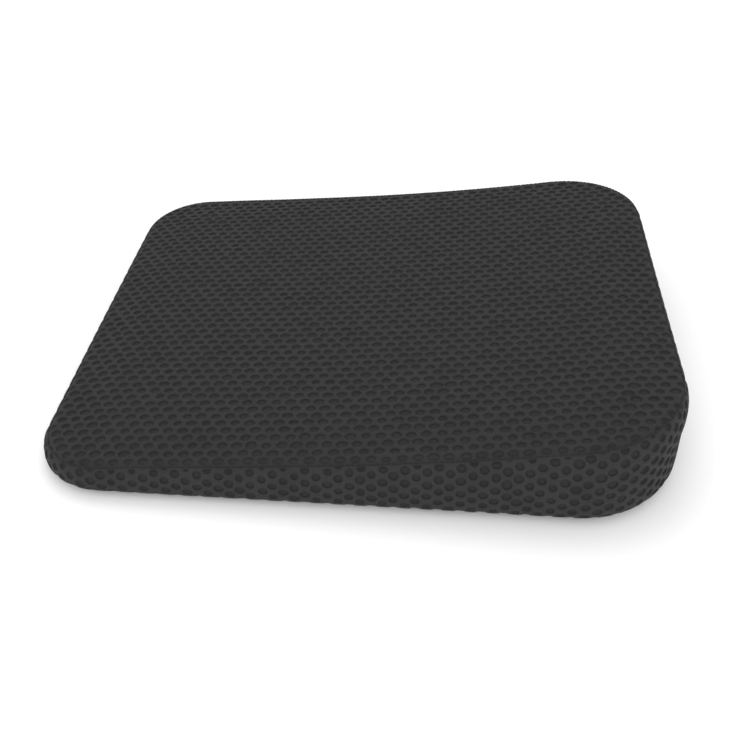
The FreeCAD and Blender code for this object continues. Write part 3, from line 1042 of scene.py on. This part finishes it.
GRIP_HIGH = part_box("grip_coating")[1]
LABEL_LOW, LABEL_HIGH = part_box("care_label")
DOT_PITCH = 9 * MM
DOT_RADIUS = 2.1 * MM
DOT_HEIGHT = 1.0 * MM
LABEL_GAP = 3 * MM
FILM_HALF = 0.25 * MM
FILM_CORNER = 40 * MM
DOT_MARGIN = 6 * MM
LABEL_STITCH_INSET = 2 * MM
LABEL_STITCH_PITCH = 2.6 * MM


def rounded_loop(x_half, y_half, radius, centre_y=0.0, steps=10):
    loop = []
    for quarter, (sx, sy) in enumerate([(1, 1), (-1, 1), (-1, -1), (1, -1)]):
        for k in range(steps + 1):
            angle = math.pi / 2 * (quarter + k / steps)
            loop.append((sx * (x_half - radius) + radius * math.cos(angle),
                         centre_y + sy * (y_half - radius) + radius * math.sin(angle)))
    return loop


def grip_print(material):
    """Thin film with a close field of raised dots, left open round the label."""
    curve = bpy.data.curves.new("film", "CURVE")
    curve.dimensions = "2D"
    curve.fill_mode = "BOTH"
    curve.extrude = FILM_HALF
    label_x = LABEL_HIGH[0] + LABEL_GAP
    label_y = (LABEL_HIGH[1] - LABEL_LOW[1]) / 2 + LABEL_GAP
    label_mid = (LABEL_HIGH[1] + LABEL_LOW[1]) / 2
    x_half = GRIP_HIGH[0]
    y_half = GRIP_HIGH[1]
    loops = [rounded_loop(x_half, y_half, FILM_CORNER),
             rounded_loop(label_x, label_y, LABEL_GAP, label_mid)]
    for loop in loops:
        spline = curve.splines.new("POLY")
        spline.points.add(len(loop) - 1)
        for point, (x, y) in zip(spline.points, loop):
            point.co = (x, y, 0, 1)
        spline.use_cyclic_u = True
    holder = bpy.data.objects.new("film", curve)
    bpy.context.collection.objects.link(holder)
    depsgraph = bpy.context.evaluated_depsgraph_get()
    mesh = bpy.data.meshes.new_from_object(holder.evaluated_get(depsgraph))
    bpy.data.objects.remove(holder)
    film = bpy.data.objects.new("film", mesh)
    bpy.context.collection.objects.link(film)
    film.location.z = DOT_HEIGHT + FILM_HALF
    film.data.transform(film.matrix_basis)
    film.location.z = 0
    film.data.materials.clear()
    film.data.materials.append(material)

    profile = [(1.0, 1.0), (0.93, 0.45), (0.72, 0.10), (0.35, 0.0)]
    sides = 10
    turn = np.arange(sides) * 2 * math.pi / sides
    dot_faces = ring_faces(len(profile), sides)
    points, faces = [], []
    rows = int(y_half / (DOT_PITCH * 0.866)) + 1
    columns = int(x_half / DOT_PITCH) + 1
    for row in range(-rows, rows + 1):
        for column in range(-columns, columns + 1):
            x = (column + 0.5 * (row % 2)) * DOT_PITCH
            y = row * DOT_PITCH * 0.866
            dx = max(abs(x) - (x_half - FILM_CORNER), 0)
            dy = max(abs(y) - (y_half - FILM_CORNER), 0)
            outside = math.hypot(dx, dy) > FILM_CORNER - DOT_MARGIN
            on_label = (abs(x) < label_x + DOT_MARGIN / 2
                        and abs(y - label_mid) < label_y + DOT_MARGIN / 2)
            if outside or on_label:
                continue
            first = len(points)
            for width, height in profile:
                for angle in turn:
                    points.append((x + DOT_RADIUS * width * math.cos(angle),
                                   y + DOT_RADIUS * width * math.sin(angle), DOT_HEIGHT * height))
            faces += [[first + c for c in face] for face in dot_faces]
            last = first + (len(profile) - 1) * sides
            faces.append([last + k for k in range(sides)])
    dots = make_object("dots", points, [f[::-1] for f in faces], material)
    return joined("grip_print", [film, dots])


def label_sheet(material):
    """Blank woven label with a little wave in it."""
    x = np.linspace(LABEL_LOW[0], LABEL_HIGH[0], 41)
    y = np.linspace(LABEL_LOW[1], LABEL_HIGH[1], 21)
    grid_x, grid_y = np.meshgrid(x, y, indexing="ij")
    flat = np.stack([grid_x.ravel(), grid_y.ravel()], axis=-1)
    z = LABEL_LOW[2] + 0.15 * MM + 0.12 * MM * ripple(flat, 30 * MM, 11)
    lower = np.column_stack([flat, z])
    upper = np.column_stack([flat, np.full(len(flat), LABEL_HIGH[2] + 0.05 * MM)])
    faces = []
    for i in range(len(x) - 1):
        for j in range(len(y) - 1):
            a = i * len(y) + j
            faces.append([a, a + 1, a + 1 + len(y), a + len(y)])
    top = [[c + len(flat) for c in face[::-1]] for face in faces]
    rim = [i * len(y) for i in range(len(x))]
    rim += [(len(x) - 1) * len(y) + j for j in range(1, len(y))]
    rim += [i * len(y) + len(y) - 1 for i in range(len(x) - 2, -1, -1)]
    rim += list(range(len(y) - 2, 0, -1))
    sides = [[a, b, b + len(flat), a + len(flat)] for a, b in zip(rim, rim[1:] + rim[:1])]
    piece = make_object("blank_label", np.concatenate([lower, upper]), faces + top + sides, material)
    weld(piece, 0.001 * MM)
    add_uv(piece, coordinates(piece.data)[:, :2])
    return piece


def label_stitches(material):
    x0, y0 = (v + LABEL_STITCH_INSET for v in LABEL_LOW[:2])
    x1, y1 = (v - LABEL_STITCH_INSET for v in LABEL_HIGH[:2])
    z = LABEL_LOW[2] - 0.02 * MM
    corners = np.array([(x0, y0, z), (x1, y0, z), (x1, y1, z), (x0, y1, z), (x0, y0, z)])
    path = np.concatenate([np.linspace(a, b, 40) for a, b in zip(corners, corners[1:])])
    ups = np.broadcast_to([0.0, 0.0, -1.0], path.shape)
    return stitches("label_stitches", path, ups, material, pitch=LABEL_STITCH_PITCH)


def give_material(node, material):
    """A better finish for a CAD node whose shape stays."""
    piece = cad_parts[node]
    for holder in piece.material_slots:
        holder.material = material
    if not piece.material_slots:
        piece.data.materials.append(material)


def place_piece(piece, nodes, body=ROOT):
    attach(piece, body)
    if nodes:
        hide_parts(*nodes)


LINER_INSET = 4.9 * MM
FOAM_INSET = 5.7 * MM
JOINT_SHARE = 0.55
JOINT_GAP = 0.01


def filling(liner_cloth, moved):
    """The liner and the two foams, inside the cover. They swell with it, and stay in front of
    the slider's back plate."""
    liner_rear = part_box("liner_upper")[1][1]
    foam_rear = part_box("comfort_foam")[1][1]
    parts = [
        ("liner_sock", closed_form(LINER_INSET), liner_cloth, ("liner_upper", "liner_lower"), "liner"),
        ("seat_foam", closed_form(FOAM_INSET, keep_low=JOINT_SHARE),
         foam_material("seat_foam", (0.72, 0.68, 0.52)), ("comfort_foam",), "comfort_foam"),
        ("wedge_foam", closed_form(FOAM_INSET, keep_high=JOINT_SHARE - JOINT_GAP),
         foam_material("wedge_foam", (0.45, 0.47, 0.50)), ("support_foam",), "support_foam"),
    ]
    for name, (points, faces), material, nodes, slot_name in parts:
        rear = liner_rear if slot_name == "liner" else foam_rear
        points = points + moved(points)
        points[:, 1] = np.minimum(points[:, 1], rear)
        piece = make_object(name, points, faces, material)
        weld(piece, 0.05 * MM)
        add_uv(piece, coordinates(piece.data)[:, :2])
        place_piece(piece, nodes)


# Scene

def light(name, kind, place, target, energy, size):
    lamp = bpy.data.lights.new(name, kind)
    lamp.energy = energy
    lamp.size = size
    item = bpy.data.objects.new(name, lamp)
    bpy.context.collection.objects.link(item)
    item.location = place
    item.rotation_euler = (Vector(target) - Vector(place)).to_track_quat("-Z", "Y").to_euler()
    return item


def floor_and_lights():
    """Pale floor under soft studio light. Plain display colours keep the pale floor pale."""
    bpy.context.scene.view_settings.view_transform = "Standard"
    nodes = Nodes("floor")
    nodes.shader.inputs["Roughness"].default_value = 0.9
    tone = nodes.ramp(nodes.noise(3.0), [(0.0, 0.90), (1.0, 0.93)])
    nodes.link(tone, nodes.shader.inputs["Base Color"])
    reach = 6.0
    corners = [(-reach, -reach, 0), (reach, -reach, 0), (reach, reach, 0), (-reach, reach, 0)]
    floor = make_object("floor", corners, [[0, 1, 2, 3]], nodes.material, False)
    world = bpy.data.worlds.new("studio")
    bpy.context.scene.world = world
    world.use_nodes = True
    background = world.node_tree.nodes["Background"]
    background.inputs[0].default_value = (1, 1, 1, 1)
    background.inputs[1].default_value = 1.0
    light("key", "AREA", (-1.1, -0.2, 1.9), (0, 0, 0), 10, 1.4)
    light("fill", "AREA", (1.4, 0.1, 0.7), (0, 0, 0), 11, 1.6)


CAMERA_PLACE = (0.6130, 0.0471, 0.4517)
CAMERA_TARGET = (0.1038, 0.0086, 0.0496)
CAMERA_LENS = 46.88


def camera():
    data = bpy.data.cameras.new("camera")
    data.lens = CAMERA_LENS
    data.sensor_width = 36
    data.clip_start = 0.01
    item = bpy.data.objects.new("camera", data)
    bpy.context.collection.objects.link(item)
    item.location = CAMERA_PLACE
    gaze = Vector(CAMERA_TARGET) - Vector(CAMERA_PLACE)
    item.rotation_euler = gaze.to_track_quat("-Z", "Y").to_euler()
    bpy.context.scene.camera = item


def cover(moved):
    # Both air-mesh copies darken their pit walls partly with painted shade. The boxing's copy has
    # lighter ridges and darker pits than the seat's: painted light and shade, as its upright pits
    # shade themselves less
    mesh_fabric = air_mesh("air_mesh", 0.0205, 0.0095, 0.0205)
    side_fabric_painted_shade = air_mesh("air_mesh_side_painted_shade", 0.0232, 0.0078, 0.0186)
    base_cloth = plain_cloth("base_cloth", (0.026, 0.026, 0.027))
    top = seat_panel(mesh_fabric, moved)
    place_piece(top, ["top_panel"])
    side = wall_panel("boxing_strip", side_fabric_painted_shade, moved, (WINDOW_END, PERIMETER - WINDOW_END))
    place_piece(side, ["side_boxing"])
    middle = (-WINDOW_END, WINDOW_END)
    upper = wall_panel("rear_strip_upper", side_fabric_painted_shade, moved, middle,
                       low=height_on_rear(WINDOW_TOP), hem_low=True)
    place_piece(upper, ["rear_boxing_upper"])
    lower = wall_panel("rear_strip_lower", side_fabric_painted_shade, moved, middle,
                       high=height_on_rear(WINDOW_BASE), hem_high=True)
    place_piece(lower, ["rear_boxing_lower"])
    place_piece(base_sheet(base_cloth), ["base_panel"])


def trimmings(moved):
    thread = thread_material()
    top_row, base_row = seam_threads(thread, moved)
    place_piece(top_row, ["top_seam_thread"])
    place_piece(base_row, ["base_seam_thread"])
    place_piece(closing_threads(thread, moved), ["closing_seam_threads"])
    for side, end in ((1, "upper"), (-1, "lower")):
        row = zip_stitches("zip_stitches_" + end, side, thread)
        place_piece(row, ["zipper_stitching_" + end])
    place_piece(grip_print(grip_material()), ["grip_coating"])
    ribbon = plain_cloth("label_ribbon", (0.62, 0.62, 0.60), 0.35 * MM, 0.3)
    place_piece(label_sheet(ribbon), ["care_label"])
    place_piece(label_stitches(thread), [])


def zip_fastener():
    nylon = nylon_material()
    lacquer = lacquer_material()
    tape = plain_cloth("zip_tape", (0.026, 0.026, 0.027), 0.7 * MM, 0.1, axes=(0, 2))
    for side, end in ((1, "upper"), (-1, "lower")):
        place_piece(coil("zip_coil_" + end, side, nylon), ["zipper_coil_" + end])
        give_material("zipper_tape_" + end, tape)
    for node in ("zipper_end_tab_left", "zipper_end_tab_right"):
        give_material(node, tape)
    for node, body in (("zipper_top_stops", ROOT), ("zipper_bottom_stop", ROOT),
                       ("zipper_slider", "slider"), ("zipper_pull", "pull")):
        place_piece(rounded_metal(node, lacquer), [node], body)


def build():
    camera()
    floor_and_lights()
    moved = swelling()
    cover(moved)
    trimmings(moved)
    zip_fastener()
    filling(plain_cloth("liner_jersey", (0.16, 0.16, 0.165), 0.9 * MM), moved)


build()
